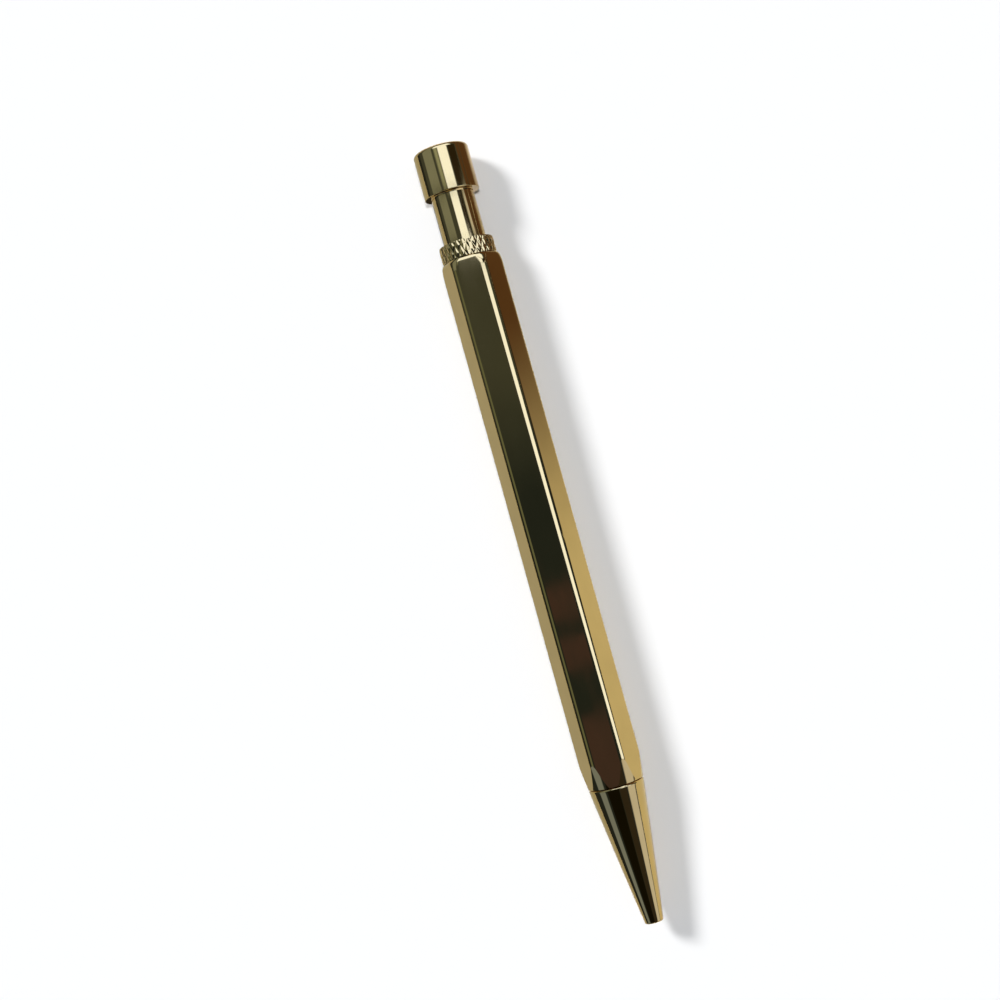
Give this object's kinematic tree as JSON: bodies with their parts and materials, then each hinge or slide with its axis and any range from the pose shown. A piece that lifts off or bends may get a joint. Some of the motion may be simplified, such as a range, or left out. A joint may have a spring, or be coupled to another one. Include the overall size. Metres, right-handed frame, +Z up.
{
  "type": "retractable ballpoint pen",
  "caption": "Retractable ballpoint pen: polished hexagonal barrel, tapered nose cone, knurled collar and a push button that drives the refill's point out through the nose.",
  "frame": {"origin": "middle of the pen's length and width, on the surface that it lies on", "axes": "+Y along the pen's axis towards the button, +Z up through the upper flat, +X to the right"},
  "size_m": [0.0106, 0.137, 0.0097],
  "materials": {
    "barrel_gold": "polished gold plate",
    "nose_gold": "polished gold plate",
    "collar_gold": "knurled gold plate",
    "button_gold": "polished gold plate",
    "bush_brass": "bare turned brass",
    "sleeve_plastic": "moulded",
    "plunger_plastic": "moulded",
    "rotor_plastic": "moulded",
    "spring_steel": "drawn wire",
    "tube_steel": "drawn tube",
    "point_brass": "turned",
    "ball_carbide": "lapped",
    "ink": "thick ink",
    "follower_grease": "grease"
  },
  "bodies": {
    "pen_body": {"barrel": "barrel_gold", "front_bush": "bush_brass", "knurled_collar": "collar_gold", "cam_sleeve": "sleeve_plastic"},
    "button": {"push_button": "button_gold", "plunger": "plunger_plastic"},
    "refill": {"refill_tube": "tube_steel", "refill_point": "point_brass", "ink_column": "ink", "ink_follower": "follower_grease"},
    "rotor_cam": {"rotor": "rotor_plastic"},
    "ball": {"writing_ball": "ball_carbide"},
    "nose": {"nose_cone": "nose_gold", "return_spring": "spring_steel"}
  },
  "joints": [
    {"name": "button_press", "type": "slide", "parent": "pen_body", "child": "button", "axis": [0, -1, 0], "range_m": [0, 0.006], "stiffness_N_per_m": 300, "springref_m": -0.006},
    {"name": "refill_extend", "type": "slide", "parent": "pen_body", "child": "refill", "axis": [0, -1, 0], "range_m": [0, 0.00505], "deforming": ["return_spring"]},
    {"name": "rotor_index", "type": "hinge", "parent": "refill", "child": "rotor_cam", "pos_m": [0, 0.0328, 0.00485], "axis": [0, 1, 0], "range_deg": [0, 21.5]},
    {"name": "ball_roll", "type": "hinge", "parent": "refill", "child": "ball", "pos_m": [0, -0.06715, 0.00485], "axis": [1, 0, 0], "continuous": true},
    {"name": "nose_unscrew", "type": "slide", "parent": "pen_body", "child": "nose", "axis": [0, -1, 0], "range_m": [0, 0.0065]}
  ],
  "couplings": [
    {"joint": "refill_extend", "follows": "button_press", "ratio": 0.84167},
    {"joint": "rotor_index", "follows": "button_press", "rad_per_m": 62.54}
  ]
}
